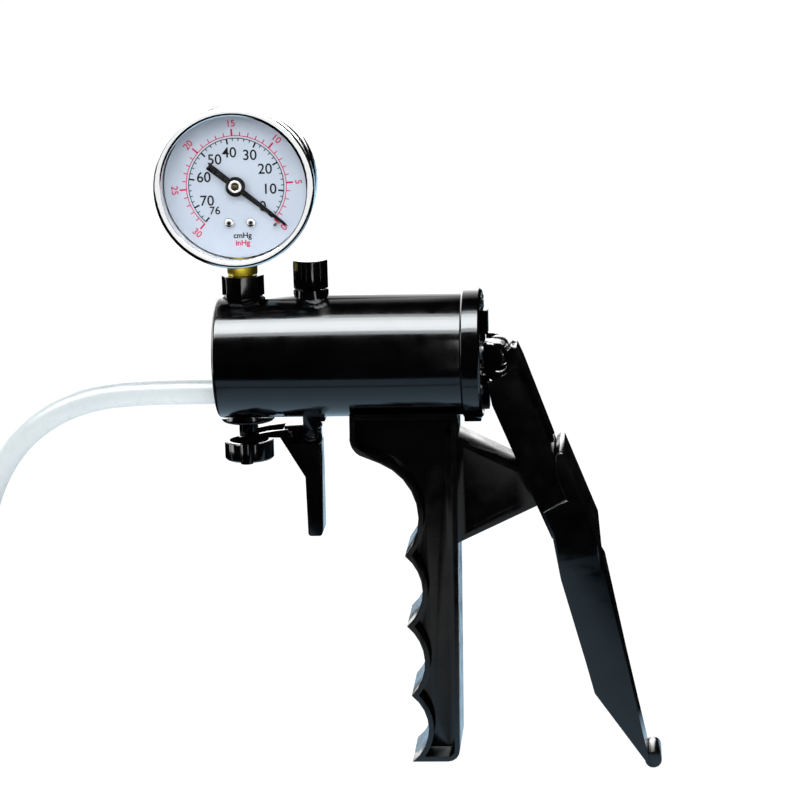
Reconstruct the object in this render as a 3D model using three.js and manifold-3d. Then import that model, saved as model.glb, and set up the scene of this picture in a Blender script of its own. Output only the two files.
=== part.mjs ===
// Hand vacuum pump: a pistol-grip piston pump with a dial gauge, a release trigger and a hose.
// Millimetres, +Z up. The barrel lies along X, with its hose end at -X and the lever at +X.
// Every piece is drawn in the barrel's own frame, whose origin is on the barrel's axis above the
// grip's finger ridges. The outer group lifts that frame to the surface the pump stands on.
import * as THREE from "three";
import { mergeVertices } from "three/addons/utils/BufferGeometryUtils.js";
import Module from "manifold-3d";

const wasm = await Module();
wasm.setup();

// ---------------------------------------------------------------- driving dimensions
const AXIS_HEIGHT = 140.5;
const CENTRE_X = 4.05;
const GAP = 0.3;

const BARREL = { front: -59.6, rear: 24.0, r: 20.3, bore: 16.5, chamber: 17.4, fillet: 1.4 };
const BULKHEAD = { front: -36.5, rear: -32.5, hole: 2.4 };
const COVER = { front: -59.0, rear: -55.4 };
const PORT_X = -50.6;
const HOSE = { r: 4.15, z: -11.8, end: -56.3 };

const COLLAR = { front: 21.3, wall: 24.3, face: 26.8, rear: 27.7, r: 21.5, lipR: 20.0 };
const CAP_BARS = { rear: 29.7, half: 3.4, inner: 5.9, top: 14.6, bottom: -18.2 };
const CAP_SCREW = { circle: 18.0, headR: 1.8, shankR: 1.0, tip: 18.0 };
const BUSH = { bore: 3.9, r: 6.5, front: 15.5, rear: 27.0 };

const PISTON = { front: -25.4, rear: -14.0, r: 15.9 };
const SEAL_GROOVE = { front: -21.6, rear: -18.0, r: 13.4 };
const ROD = { r: 3.6, front: -22.0, rear: 29.0 };
const CROSS = { x: 32.2, pinR: 2.2, headX: 29.4, headR: 5.0, headIn: 8.0, headOut: 11.3 };

const VENT = { x: -28.2, r: 5.8, seat: 18.8, top: 22.3, capTop: 32.0, flutes: 22 };

const GAUGE = { z: 57.7, bezelR: 26.0, caseR: 25.2, front: -15.6, back: 8.0 };
const DIAL = { r: 23.4, front: -7.0, back: -6.4 };
const NEEDLE = { restAngle: -38.5, reach: 21.0, tail: 11.0, front: -9.4, back: -8.8 };
const DIAL_SCREW = { centre: 0.8, apart: 3.55, z: -12.0, r: 1.65 };
const SOCKET = { r: 7.05, top: 27.3, boreR: 3.6 };
const NECK_R = 5.0;

const VALVE = { bodyR: 3.15, boreR: 2.3, bottom: -31.0, shoulder: -29.4 };
const KNOB = { r: 8.15, wall: 1.6, top: -28.2, bottom: -34.5, pillarR: 2.1, pillarY: 7.6 };
const TRIGGER = { x: -29.3, z: -25.2, pinR: 1.25, half: 6.5, headHalf: 2.6, lugIn: 4.7, lugOut: 6.9 };

const GRIP = { half: 13.0, rim: 1.7, webHalf: 2.2, top: -17.5, rear: 19.2 };
const BRACKET = { half: 10.0, hubR: 5.2, hubHalf: 11.2 };
const PIVOT = { x: 47.2, z: -44.2, pinR: 2.2, pinHalf: 12.6 };
const ARM = { half: 13.6, inner: 11.6, wall: 2.2, earIn: 3.8, earOut: 7.4 };
const HANDLE = { half: 15.4, inner: 13.9, tipHalf: 9.0, edgeR: 1.2, wall: 2.6, rollR: 2.8, rollHalf: 8.0 };

// ---------------------------------------------------------------- finishes
const finish = (color, roughness, metalness) => ({ color, roughness, metalness });
const BLACK_GLOSS = finish(0x0a0a0c, 0.18, 0.0);
const CHROME = finish(0xdfe1e4, 0.08, 1.0);
const BRASS = finish(0xb98d2e, 0.3, 1.0);
const STEEL = finish(0xa9abae, 0.3, 1.0);
const OXIDE = finish(0x1e1e20, 0.35, 1.0);
const RUBBER = finish(0x191919, 0.85, 0.0);
const DIAL_PAINT = finish(0xccd4e2, 0.5, 0.0);
const NEEDLE_BLACK = finish(0x0c0c0c, 0.45, 0.0);
const CLEAR = finish(0xeef4f6, 0.03, 0.0);
const MILKY = finish(0xd9dcdb, 0.4, 0.0);

// ---------------------------------------------------------------- solids
function solid(geometry) {
  const bare = geometry.clone();
  bare.deleteAttribute("normal");
  bare.deleteAttribute("uv");
  const merged = mergeVertices(bare, 1e-4);
  const vertProperties = new Float32Array(merged.attributes.position.array);
  const triVerts = new Uint32Array(merged.index.array);
  return new wasm.Manifold(new wasm.Mesh({ numProp: 3, vertProperties, triVerts }));
}

function geometryOf(manifold) {
  const mesh = manifold.getMesh();
  const geometry = new THREE.BufferGeometry();
  geometry.setAttribute("position", new THREE.BufferAttribute(new Float32Array(mesh.vertProperties), 3));
  geometry.setIndex(new THREE.BufferAttribute(new Uint32Array(mesh.triVerts), 1));
  geometry.computeVertexNormals();
  return geometry;
}

const join = (...parts) => geometryOf(parts.map(solid).reduce((a, b) => a.add(b)));
const cut = (body, ...tools) => geometryOf(tools.map(solid).reduce((a, b) => a.subtract(b), solid(body)));
const common = (a, b) => geometryOf(solid(a).intersect(solid(b)));

// A profile of [radius, height] pairs turned about X, Y or Z, its outer side running upwards.
function turned(axis, profile, segments = 32) {
  const points = profile.map(([r, h]) => new THREE.Vector2(r, h));
  const geometry = new THREE.LatheGeometry(points, segments);
  if (axis === "x") geometry.rotateZ(-Math.PI / 2);
  if (axis === "z") geometry.rotateX(Math.PI / 2);
  return geometry;
}

const rod = (axis, r, low, high, segments = 24) => {
  return turned(axis, [[0, low], [r, low], [r, high], [0, high]], segments);
};

const tube = (axis, inner, outer, low, high, segments = 32) => {
  return turned(axis, [[inner, low], [outer, low], [outer, high], [inner, high], [inner, low]], segments);
};

const block = (x, y, z) => {
  const box = new THREE.BoxGeometry(x[1] - x[0], y[1] - y[0], z[1] - z[0]);
  return box.translate((x[0] + x[1]) / 2, (y[0] + y[1]) / 2, (z[0] + z[1]) / 2);
};

const shapeOf = (outline) => new THREE.Shape(outline.map(([u, v]) => new THREE.Vector2(u, v)));
function extruded(outline, depth) {
  return new THREE.ExtrudeGeometry(shapeOf(outline), { depth, bevelEnabled: false });
}

// Outlines of [x, z] points extruded along Y, and of [y, z] points extruded along X.
const plate = (outline, near, far) => extruded(outline, far - near).rotateX(Math.PI / 2).translate(0, far, 0);
const sidePlate = (outline, low, high) => {
  return extruded(outline, high - low).rotateX(Math.PI / 2).rotateZ(Math.PI / 2).translate(low, 0, 0);
};

// A plate whose outline edges are rounded on both faces.
function roundedPlate(outline, near, far, edgeR) {
  const size = { bevelThickness: edgeR, bevelSize: edgeR, bevelOffset: -edgeR };
  const depth = far - near - 2 * edgeR;
  const geometry = new THREE.ExtrudeGeometry(shapeOf(outline), { depth, bevelSegments: 3, ...size });
  return geometry.rotateX(Math.PI / 2).translate(0, far - edgeR, 0);
}

// A wire or hose along points, with a round section.
function alongPath(points, r, sides, steps) {
  const section = Array.from({ length: sides }, (_, i) => {
    return [r * Math.cos((2 * Math.PI * i) / sides), r * Math.sin((2 * Math.PI * i) / sides)];
  });
  const path = new THREE.CatmullRomCurve3(points.map(([x, y, z]) => new THREE.Vector3(x, y, z)));
  return new THREE.ExtrudeGeometry(shapeOf(section), { steps, extrudePath: path, bevelEnabled: false });
}

// A compression spring along X or Z.
function spring(axis, coilR, wireR, low, high, turns) {
  const perTurn = 10;
  const count = turns * perTurn;
  const points = Array.from({ length: count + 1 }, (_, i) => {
    const angle = (2 * Math.PI * i) / perTurn;
    const height = low + wireR + ((high - low - 2 * wireR) * i) / count;
    const [u, v] = [coilR * Math.cos(angle), coilR * Math.sin(angle)];
    return axis === "x" ? [height, u, v] : [u, v, height];
  });
  return alongPath(points, wireR, 6, count);
}

// ---------------------------------------------------------------- plane geometry
const onCircle = ([x, z], r, angle) => [x + r * Math.cos(angle), z + r * Math.sin(angle)];

// Points along an arc from one angle to another, both ends included.
function arc(centre, r, from, to, steps) {
  return Array.from({ length: steps + 1 }, (_, i) => onCircle(centre, r, from + ((to - from) * i) / steps));
}

// The circle through three points.
function circleThrough([ax, az], [bx, bz], [cx, cz]) {
  const d = 2 * (ax * (bz - cz) + bx * (cz - az) + cx * (az - bz));
  const a2 = ax * ax + az * az;
  const b2 = bx * bx + bz * bz;
  const c2 = cx * cx + cz * cz;
  const x = (a2 * (bz - cz) + b2 * (cz - az) + c2 * (az - bz)) / d;
  const z = (a2 * (cx - bx) + b2 * (ax - cx) + c2 * (bx - ax)) / d;
  return { centre: [x, z], r: Math.hypot(ax - x, az - z) };
}

// Where two circles stacked in z meet, on the side with the larger x.
function circlesMeet(a, b) {
  const dx = b.centre[0] - a.centre[0];
  const dz = b.centre[1] - a.centre[1];
  const d = Math.hypot(dx, dz);
  const along = (a.r * a.r - b.r * b.r + d * d) / (2 * d);
  const off = Math.sqrt(a.r * a.r - along * along) * Math.sign(-dz);
  return [a.centre[0] + (along * dx - off * dz) / d, a.centre[1] + (along * dz + off * dx) / d];
}

// The arc of a circle that runs between two of its points, the short way round.
function arcBetween(circle, start, end, steps) {
  const angleOf = ([x, z]) => Math.atan2(z - circle.centre[1], x - circle.centre[0]);
  const from = angleOf(start);
  let turn = angleOf(end) - from;
  if (turn > Math.PI) turn -= 2 * Math.PI;
  if (turn < -Math.PI) turn += 2 * Math.PI;
  return arc(circle.centre, circle.r, from, from + turn, steps);
}

const pump = new THREE.Group();
pump.position.set(-CENTRE_X, 0, AXIS_HEIGHT);

function piece(name, look, geometry) {
  const mesh = new THREE.Mesh(geometry, new THREE.MeshStandardMaterial(look));
  mesh.name = name;
  pump.add(mesh);
}

const screwAngles = [90, 210, 330].map((degrees) => THREE.MathUtils.degToRad(degrees));
const capScrewPlace = (angle) => onCircle([0, 0], CAP_SCREW.circle, angle);

// ---------------------------------------------------------------- barrel and its ends
function barrel() {
  const { front, rear, r, bore, chamber, fillet } = BARREL;
  const rounded = arc([front + fillet, r - fillet], fillet, Math.PI, Math.PI / 2, 3).map(([x, y]) => [y, x]);
  const shell = turned("x", [[0, front], ...rounded, [r, rear], [0, rear]], 56);
  const ventBoss = rod("z", VENT.r, 10, VENT.top, 24).translate(VENT.x, 0, 0);
  const hollows = [
    rod("x", chamber, front - 1, BULKHEAD.front, 40),
    rod("x", bore, BULKHEAD.rear, rear + 1, 48),
    rod("x", BULKHEAD.hole, BULKHEAD.front - 1, BULKHEAD.rear + 1, 16),
    rod("z", 4.3, 10, 30, 20).translate(PORT_X, 0, 0),
    rod("z", 1.6, 10, 30, 12).translate(VENT.x, 0, 0),
    rod("z", 3.5, VENT.seat, 30, 20).translate(VENT.x, 0, 0),
    rod("z", 1.9, -30, -10, 16).translate(PORT_X, 0, 0),
    ...screwAngles.map((angle) => {
      const [y, z] = capScrewPlace(angle);
      return rod("x", CAP_SCREW.shankR + GAP, CAP_SCREW.tip - GAP, rear + 1, 10).translate(0, y, z);
    }),
  ];
  return cut(join(shell, ventBoss, triggerLugs()), ...hollows);
}

// Two lugs under the barrel carry the trigger's pin outside its narrow head.
function triggerLugs() {
  const { x, z, pinR, lugIn, lugOut } = TRIGGER;
  const knuckleR = 2.4;
  const outline = [
    [x - knuckleR, -16.5],
    ...arc([x, z], knuckleR, Math.PI, 2 * Math.PI, 8),
    [x + knuckleR, -22.4],
    [x + 4.8, -19.4],
    [x + 4.8, -16.5],
  ];
  const pad = block([x - knuckleR, x + 4.8], [-lugOut, lugOut], [-20.9, -16.5]);
  const pinHole = rod("y", pinR + GAP, -20, 20, 14).translate(x, 0, z);
  return cut(join(plate(outline, -lugOut, -lugIn), plate(outline, lugIn, lugOut), pad), pinHole);
}

function frontCover() {
  const disc = rod("x", BARREL.chamber - GAP, COVER.front, COVER.rear, 40);
  const socket = rod("x", HOSE.r + GAP, COVER.front - 1, HOSE.end + GAP, 20).translate(0, 0, HOSE.z);
  const passage = rod("x", 2.0, COVER.front, COVER.rear + 1, 14).translate(0, 0, HOSE.z);
  return cut(disc, socket, passage);
}

function inletValve() {
  const { front, rear } = BULKHEAD;
  const bulb = [[0, front - 2.4], [2.9, front - 1.8], [2.9, front - GAP], [1.3, front - GAP]];
  const umbrella = [[1.3, rear + GAP], [6.2, rear + GAP], [5.6, rear + 1.3], [0, rear + 1.3]];
  return turned("x", [...bulb, ...umbrella], 20);
}

function endCap() {
  const { front, wall, face, rear, r, lipR } = COLLAR;
  const sleeve = BARREL.r + GAP;
  const hole = BUSH.r + GAP;
  const profile = [
    [sleeve, front], [r - 0.5, front], [r, front + 0.5], [r, rear - 0.8], [r - 0.8, rear],
    [lipR, rear], [lipR, face], [hole, face], [hole, wall], [sleeve, wall], [sleeve, front],
  ];
  const ring = turned("x", profile, 56);
  const { half, inner, top, bottom } = CAP_BARS;
  const bars = [[inner, top], [bottom, -inner]].map((z) => {
    return block([wall + 1, CAP_BARS.rear], [-half, half], [Math.max(z[0], hole), z[1]]);
  });
  bars[1] = block([wall + 1, CAP_BARS.rear], [-half, half], [bottom, -hole]);
  const lug = block([21.3, 26.8], [-3.0, 3.0], [-22.4, -20.9]);
  const holes = screwAngles.map((angle) => {
    const [y, z] = capScrewPlace(angle);
    return rod("x", CAP_SCREW.shankR + GAP, wall - 1, rear + 1, 10).translate(0, y, z);
  });
  return cut(join(ring, ...bars, lug), ...holes);
}

function capScrew(angle) {
  const [y, z] = capScrewPlace(angle);
  const { headR, shankR, tip } = CAP_SCREW;
  const headFront = COLLAR.face + GAP;
  const profile = [
    [0, tip], [shankR, tip], [shankR, headFront], [headR, headFront],
    [headR, headFront + 0.8], [headR - 0.5, headFront + 1.3], [0, headFront + 1.3],
  ];
  const slot = block([headFront + 0.8, headFront + 2], [-2.5, 2.5], [-0.25, 0.25]);
  return cut(turned("x", profile, 18), slot).translate(0, y, z);
}

piece("barrel", BLACK_GLOSS, barrel());
piece("front_cover", BLACK_GLOSS, frontCover());
piece("inlet_valve", RUBBER, inletValve());
piece("end_cap", BLACK_GLOSS, endCap());
screwAngles.forEach((angle, i) => piece(`cap_screw_${i + 1}`, OXIDE, capScrew(angle)));
piece("rod_bush", BLACK_GLOSS, tube("x", BUSH.bore, BUSH.r, BUSH.front, BUSH.rear, 24));

// ---------------------------------------------------------------- piston, rod and cross pin
function piston() {
  const { front, rear, r } = PISTON;
  const profile = [
    [0, front], [r - 0.8, front], [r, front + 0.8], [r, SEAL_GROOVE.front],
    [SEAL_GROOVE.r, SEAL_GROOVE.front],
    [SEAL_GROOVE.r, SEAL_GROOVE.rear], [r, SEAL_GROOVE.rear], [r, rear], [ROD.r + GAP, rear],
    [ROD.r + GAP, ROD.front - GAP], [0, ROD.front - GAP],
  ];
  return turned("x", profile, 40);
}

function pistonSeal() {
  const low = SEAL_GROOVE.front + GAP;
  const high = SEAL_GROOVE.rear - GAP;
  const lip = BARREL.bore - 0.15;
  const inner = SEAL_GROOVE.r + GAP;
  return turned("x", [[inner, low], [lip, low], [lip - 0.6, high], [inner, high], [inner, low]], 40);
}

function pistonRod() {
  const shaft = rod("x", ROD.r, ROD.front, ROD.rear, 24);
  const headR = 4.2;
  const round = arc([CROSS.x, 0], headR, -Math.PI / 2, Math.PI / 2, 10);
  const head = plate([[ROD.rear - 0.5, -headR], ...round, [ROD.rear - 0.5, headR]], -3.3, 3.3);
  const eye = rod("y", CROSS.pinR + GAP, -5, 5, 20).translate(CROSS.x, 0, 0);
  return cut(join(shaft, head), eye);
}

function crossPin() {
  const corner = Math.acos(-0.9 / CROSS.headR);
  const outline = arc([CROSS.headX, 0], CROSS.headR, -corner, corner, 16);
  const heads = [-1, 1].map((side) => {
    const [near, far] = side < 0 ? [-CROSS.headOut, -CROSS.headIn] : [CROSS.headIn, CROSS.headOut];
    return plate(outline, near, far);
  });
  const pin = rod("y", CROSS.pinR, -CROSS.headIn - 1, CROSS.headIn + 1, 20).translate(CROSS.x, 0, 0);
  return join(pin, ...heads);
}

piece("piston", BLACK_GLOSS, piston());
piece("piston_seal", RUBBER, pistonSeal());
piece("piston_rod", STEEL, pistonRod());
piece("cross_pin", BLACK_GLOSS, crossPin());
piece("piston_spring", STEEL, spring("x", 10.2, 0.8, PISTON.rear + GAP, COLLAR.wall - GAP, 7));

// ---------------------------------------------------------------- exhaust valve and fluted cap
function ventCap() {
  const crest = VENT.r - 0.1;
  const outline = Array.from({ length: VENT.flutes * 2 }, (_, i) => {
    return onCircle([0, 0], i % 2 ? crest - 0.45 : crest, (Math.PI * i) / VENT.flutes);
  });
  const low = VENT.top + 0.4;
  const grip = extruded(outline, VENT.capTop - low).translate(0, 0, low);
  const chamfer = rod("z", crest, low, VENT.capTop, 24);
  const crown = turned("z", [[0, low], [crest + 1, low], [crest + 1, 31.2], [crest - 0.4, 32], [0, 32]], 24);
  const plug = rod("z", 3.1, VENT.top - 0.9, low + 1, 16);
  return join(common(join(grip, chamfer), crown), plug).translate(VENT.x, 0, 0);
}

piece("vent_disc", RUBBER, rod("z", 3.1, VENT.seat + GAP, VENT.seat + 1.3, 16).translate(VENT.x, 0, 0));
piece("vent_cap", BLACK_GLOSS, ventCap());

// ---------------------------------------------------------------- gauge
const atGauge = (geometry) => geometry.translate(PORT_X, 0, GAUGE.z);

function gaugeSocket() {
  const body = rod("z", SOCKET.r, 15, SOCKET.top, 8);
  const clearBarrel = rod("x", BARREL.r + GAP, -80, -20, 56);
  const shank = rod("z", 4.0, 14.4, 21.5, 20);
  const bore = rod("z", SOCKET.boreR, 13, 40, 20);
  const seated = join(cut(body.translate(PORT_X, 0, 0), clearBarrel), shank.translate(PORT_X, 0, 0));
  return cut(seated, bore.translate(PORT_X, 0, 0));
}

function gaugeStem() {
  const thread = rod("z", SOCKET.boreR - GAP, 17.0, SOCKET.top + 1, 18);
  const neck = rod("z", NECK_R, SOCKET.top + GAP, 35.0, 24);
  const holder = block([-4.6, 4.6], [-3.2, 3.2], [34.6, 43.5]);
  return join(thread, neck, holder).translate(PORT_X, 0, 0);
}

function gaugeCase() {
  const { caseR, back } = GAUGE;
  const front = -12.1;
  const profile = [
    [0, back - 1.2], [caseR - 1.2, back - 1.2], [caseR - 1.2, front], [caseR, front],
    [caseR, back - 1.6], [caseR - 1.6, back], [0, back],
  ];
  const cup = turned("y", profile, 56);
  const entry = rod("z", NECK_R + GAP, -30, -18, 24);
  return atGauge(cut(cup, entry));
}

function gaugeBezel() {
  const { bezelR, front, caseR } = GAUGE;
  const bore = caseR + GAP;
  const lip = 23.5;
  const half = (bezelR - lip) / 2;
  const crown = arc([0, 0], 1, Math.PI, 0, 6).map(([u, v]) => [lip + half + half * u, front + 1.0 - v]);
  const profile = [
    ...crown, [bezelR, -9.0], [bore, -9.0], [bore, front + 1.4], [lip, front + 1.4], [lip, front + 1.0],
  ];
  return atGauge(turned("y", profile, 60));
}

function gaugeDial() {
  const disc = rod("y", DIAL.r, DIAL.front, DIAL.back, 48);
  const holes = [-1, 1].map((side) => {
    return rod("y", 1.0, -10, 0, 12).translate(DIAL_SCREW.centre + side * DIAL_SCREW.apart, 0, DIAL_SCREW.z);
  });
  return atGauge(cut(disc, rod("y", 1.4, -10, 0, 16), ...holes));
}

function dialScrew(side) {
  const head = DIAL.front - GAP;
  const profile = [
    [0, head - 0.9], [DIAL_SCREW.r - 0.4, head - 0.9], [DIAL_SCREW.r, head - 0.5],
    [DIAL_SCREW.r, head], [0.7, head], [0.7, -3.2], [0, -3.2],
  ];
  const x = DIAL_SCREW.centre + side * DIAL_SCREW.apart;
  return atGauge(turned("y", profile, 18).translate(x, 0, DIAL_SCREW.z));
}

// The pressure tube is a C of flat tube that starts at the stem's holder and ends near the sector.
function bourdonTube() {
  const start = THREE.MathUtils.degToRad(-73);
  const end = THREE.MathUtils.degToRad(198);
  const outline = [...arc([0, 0], 19.4, start, end, 28), ...arc([0, 0], 17.2, end, start, 28)];
  return atGauge(plate(outline, -1.6, 3.4));
}

const SECTOR = { x: 0.0, z: -11.5, r: 10.0, front: -3.0, back: -2.2 };

// The sector swings about its own pivot below the arbor and carries the arm to the tube's tip.
function sectorGear() {
  const first = THREE.MathUtils.degToRad(84);
  const span = THREE.MathUtils.degToRad(42);
  const teeth = Array.from({ length: 25 }, (_, i) => {
    const angle = first + (span * i) / 24;
    return onCircle([SECTOR.x, SECTOR.z], i % 2 ? SECTOR.r - 0.35 : SECTOR.r, angle);
  });
  const armTip = [SECTOR.x - 9.0, SECTOR.z + 1.2];
  const outline = [
    ...teeth, [SECTOR.x - 2.0, SECTOR.z + 1.6], [armTip[0], armTip[1] + 1.0],
    [armTip[0], armTip[1] - 1.0], [SECTOR.x - 1.2, SECTOR.z - 1.4], [SECTOR.x + 1.4, SECTOR.z - 1.4],
  ];
  const pivot = rod("y", 0.9, SECTOR.front - 0.6, SECTOR.back + 0.6, 12).translate(SECTOR.x, 0, SECTOR.z);
  return atGauge(join(plate(outline, SECTOR.front, SECTOR.back), pivot));
}

function movementPlate() {
  const outline = [[-6.6, -13.8], [6.6, -13.8], [6.6, 3.4], [-6.6, 3.4]];
  const base = plate(outline, -1.0 + 0.1, 0.3 + 0.1);
  const posts = [-1, 1].map((side) => {
    return rod("y", 0.9, -3.0, 0, 12).translate(side * 5.4, 0, 2.2);
  });
  const bearing = rod("y", 0.9, -2, 2, 16);
  const sectorHole = rod("y", 1.3, -2, 2, 12).translate(SECTOR.x, 0, SECTOR.z);
  return atGauge(cut(join(base, ...posts), bearing, sectorHole));
}

function needle() {
  const { restAngle, reach, tail, front, back } = NEEDLE;
  const pointer = [[3.4, 0.9], [reach - 1.5, 0.42], [reach, 0], [reach - 1.5, -0.42], [3.4, -0.9]];
  const counter = [[-3.0, -1.0], [-tail, -1.15], [-tail, 1.15], [-3.0, 1.0]];
  const arms = plate([...pointer, ...counter].reverse(), front, back);
  const hub = rod("y", 3.2, front - 0.5, back, 24);
  const hole = rod("y", 0.8 + GAP, -20, 0, 16);
  const turn = -THREE.MathUtils.degToRad(restAngle);
  return atGauge(cut(join(arms, hub), hole).rotateY(turn));
}

function needleArbor() {
  const shaft = rod("y", 0.6, -10.6, 1.4, 14);
  const nose = rod("y", 0.8, -10.9, -10.0, 14);
  const pinion = rod("y", 1.1, -3.2, -2.0, 12);
  return atGauge(join(shaft, nose, pinion));
}

function stopPin() {
  const place = onCircle([0, 0], 17.6, THREE.MathUtils.degToRad(NEEDLE.restAngle - 7.0));
  return atGauge(rod("y", 0.45, -10.2, DIAL.front - GAP, 10).translate(place[0], 0, place[1]));
}

piece("gauge_socket", BLACK_GLOSS, gaugeSocket());
piece("gauge_stem", BRASS, gaugeStem());
piece("gauge_case", CHROME, gaugeCase());
piece("gauge_bezel", CHROME, gaugeBezel());
piece("gauge_lens", CLEAR, atGauge(rod("y", 25.1, GAUGE.front + 1.7, GAUGE.front + 3.2, 48)));
piece("gauge_dial", DIAL_PAINT, gaugeDial());
piece("dial_screw_left", CHROME, dialScrew(-1));
piece("dial_screw_right", CHROME, dialScrew(1));
piece("stop_pin", OXIDE, stopPin());
piece("bourdon_tube", BRASS, bourdonTube());
piece("movement_plate", BRASS, movementPlate());
piece("sector_gear", BRASS, sectorGear());
piece("needle_arbor", BRASS, needleArbor());
piece("needle", NEEDLE_BLACK, needle());
piece("needle_cap", CHROME, atGauge(tube("y", 1.2, 2.2, NEEDLE.front - 1.3, NEEDLE.front - 0.8, 20)));

// ---------------------------------------------------------------- release valve
const atPort = (geometry) => geometry.translate(PORT_X, 0, 0);

function valveBody() {
  const { bodyR, boreR, bottom, shoulder } = VALVE;
  const flange = turned("z", [[0, -21.6], [8.2, -21.6], [8.8, -21.0], [8.8, -10], [0, -10]], 32);
  const stalk = rod("z", bodyR, bottom, -12, 24);
  const clearBarrel = rod("x", BARREL.r + GAP, -80, -20, 56);
  const bore = rod("z", boreR, shoulder, 0, 18);
  const guide = rod("z", 1.2, bottom - 1, 0, 14);
  return cut(atPort(join(flange, stalk)), clearBarrel, atPort(bore), atPort(guide));
}

function valveStem() {
  const profile = [[0, -34.0], [0.9, -34.0], [0.9, -23.2], [1.95, -23.2], [1.95, -22.3], [0, -22.3]];
  return atPort(turned("z", profile, 16));
}

function valveKnob() {
  const { r, wall, top, bottom, pillarR, pillarY } = KNOB;
  const profile = [
    [1.2, bottom], [r - 0.6, bottom], [r, bottom + 0.6], [r, top - 0.3], [r - 0.3, top],
    [r - wall, top], [r - wall, bottom + 1.4], [1.2, bottom + 1.4], [1.2, bottom],
  ];
  const cup = turned("z", profile, 36);
  const pillars = [-1, 1].map((side) => {
    return rod("z", pillarR, bottom - 0.1, top + 0.3, 18).translate(0, side * pillarY, 0);
  });
  const hollow = rod("z", r - wall, bottom + 1.4, top + 2, 36);
  return atPort(cut(join(cup, ...pillars), hollow));
}

piece("valve_body", BLACK_GLOSS, valveBody());
piece("valve_seal", RUBBER, atPort(rod("z", 2.0, -22.0, -20.7, 16)));
piece("valve_stem", STEEL, valveStem());
piece("valve_spring", STEEL, atPort(spring("z", 1.6, 0.22, -29.1, -23.5, 4)));
piece("valve_knob", BLACK_GLOSS, valveKnob());

// ---------------------------------------------------------------- trigger
function trigger() {
  const { x, z, half, headHalf, pinR } = TRIGGER;
  const cornerR = 1.0;
  const blade = [
    [-39.5, -26.3], [-36.6, -28.5], [-26.4, -28.7], [-26.4, -39.9], [-26.6, -58.9],
    ...arc([-26.6 - cornerR, -58.9], cornerR, 0, -Math.PI / 2, 4),
    ...arc([-31.3 + cornerR, -58.9], cornerR, -Math.PI / 2, -Math.PI, 4),
    [-31.6, -39.8],
  ];
  const head = [[-38.4, -23.4], [-26.4, -22.9], [-26.4, -30.0], [-34.0, -30.0], [-38.4, -26.0]];
  const armOut = half;
  const armIn = half - 2.0;
  const arm = [
    [-39.5, -26.3], [-36.6, -28.6], [-35.4, -26.0], [-37.0, -23.8], [-44.0, -24.4],
    [-49.0, -25.4], [-53.2, -26.0], [-53.2, -27.6], [-47.4, -27.6], [-43.4, -26.2],
  ];
  const arms = [plate(arm.reverse(), -armOut, -armIn), plate(arm, armIn, armOut)];
  const bridge = block([-39.0, -36.0], [-half, half], [-26.8, -24.6]);
  const body = join(plate(blade, -half, half), plate(head, -headHalf, headHalf), bridge, ...arms);
  return cut(body, rod("y", pinR + GAP, -20, 20, 16).translate(x, 0, z));
}

// A torsion spring: one turn about the pin, one leg up to the barrel and one down to the blade.
function triggerSpring() {
  const { x, z } = TRIGGER;
  const coilR = 2.0;
  const near = -3.2;
  const pitch = 0.8;
  const wireR = 0.26;
  const coil = Array.from({ length: 13 }, (_, i) => {
    const [px, pz] = onCircle([x, z], coilR, Math.PI / 6 - (2 * Math.PI * i) / 12);
    return [px, near - (pitch * i) / 12, pz];
  });
  const upper = [[x + 3.4, near, z + 3.2], [x + 3.3, near, z + 1.9]];
  const lower = [[x + 3.2, near - pitch, z - 0.6], [x + 3.3, near - pitch, z - 2.9]];
  return alongPath([...upper, ...coil, ...lower], wireR, 6, 48);
}

piece("trigger", BLACK_GLOSS, trigger());
piece("trigger_pin", OXIDE, rod("y", TRIGGER.pinR, -6.9, 6.9, 16).translate(TRIGGER.x, 0, TRIGGER.z));
piece("trigger_spring", STEEL, triggerSpring());

// ---------------------------------------------------------------- grip
// The front edge is four finger grooves between ridges, below a large groove for the web of the hand.
const RIDGES = [[-6.4, -33.9], [1.1, -65.4], [1.1, -89.4], [2.0, -113.4], [1.7, -136.4]];
const GROOVES = [[5.9, -51.8], [6.6, -77.4], [6.7, -101.2], [7.4, -124.2]];

function gripOutline(inset) {
  const grooves = GROOVES.map((deep, i) => {
    const circle = circleThrough(RIDGES[i], deep, RIDGES[i + 1]);
    return { centre: circle.centre, r: circle.r + inset };
  });
  const bottom = RIDGES[4][1] + inset;
  const lowest = grooves[3];
  const heel = [lowest.centre[0] + Math.sqrt(lowest.r ** 2 - (bottom - lowest.centre[1]) ** 2), bottom];
  const ridgePoints = [1, 2, 3].map((i) => circlesMeet(grooves[i - 1], grooves[i]));
  const brow = inset ? [-7.4, -32.6] : RIDGES[0];
  const starts = [brow, ...ridgePoints];
  const ends = [...ridgePoints, inset ? heel : RIDGES[4]];
  const front = grooves.flatMap((circle, i) => arcBetween(circle, starts[i], ends[i], 8).slice(i ? 1 : 0));
  const heelR = 4.0 - inset;
  const rear = GRIP.rear - inset;
  const rearLow = rear - 1.6;
  return [
    ...front,
    ...arc([rearLow - heelR, bottom + heelR], heelR, -Math.PI / 2, 0, 4),
    [rear, GRIP.top - inset],
    [-15.8 + inset, GRIP.top - inset],
    [-15.9 + inset, -24.6],
    ...arc([-9.4, -25.6], 6.6 - inset, Math.PI * 1.02, Math.PI * 1.32, 4),
  ];
}

const BRACKET_OUTLINE = [
  [15.0, -24.6], [19.4, -26.6], [38.6, -36.2], [45.0, -39.6], [45.0, -49.4], [18.6, -61.8], [15.0, -63.5],
];

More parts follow.
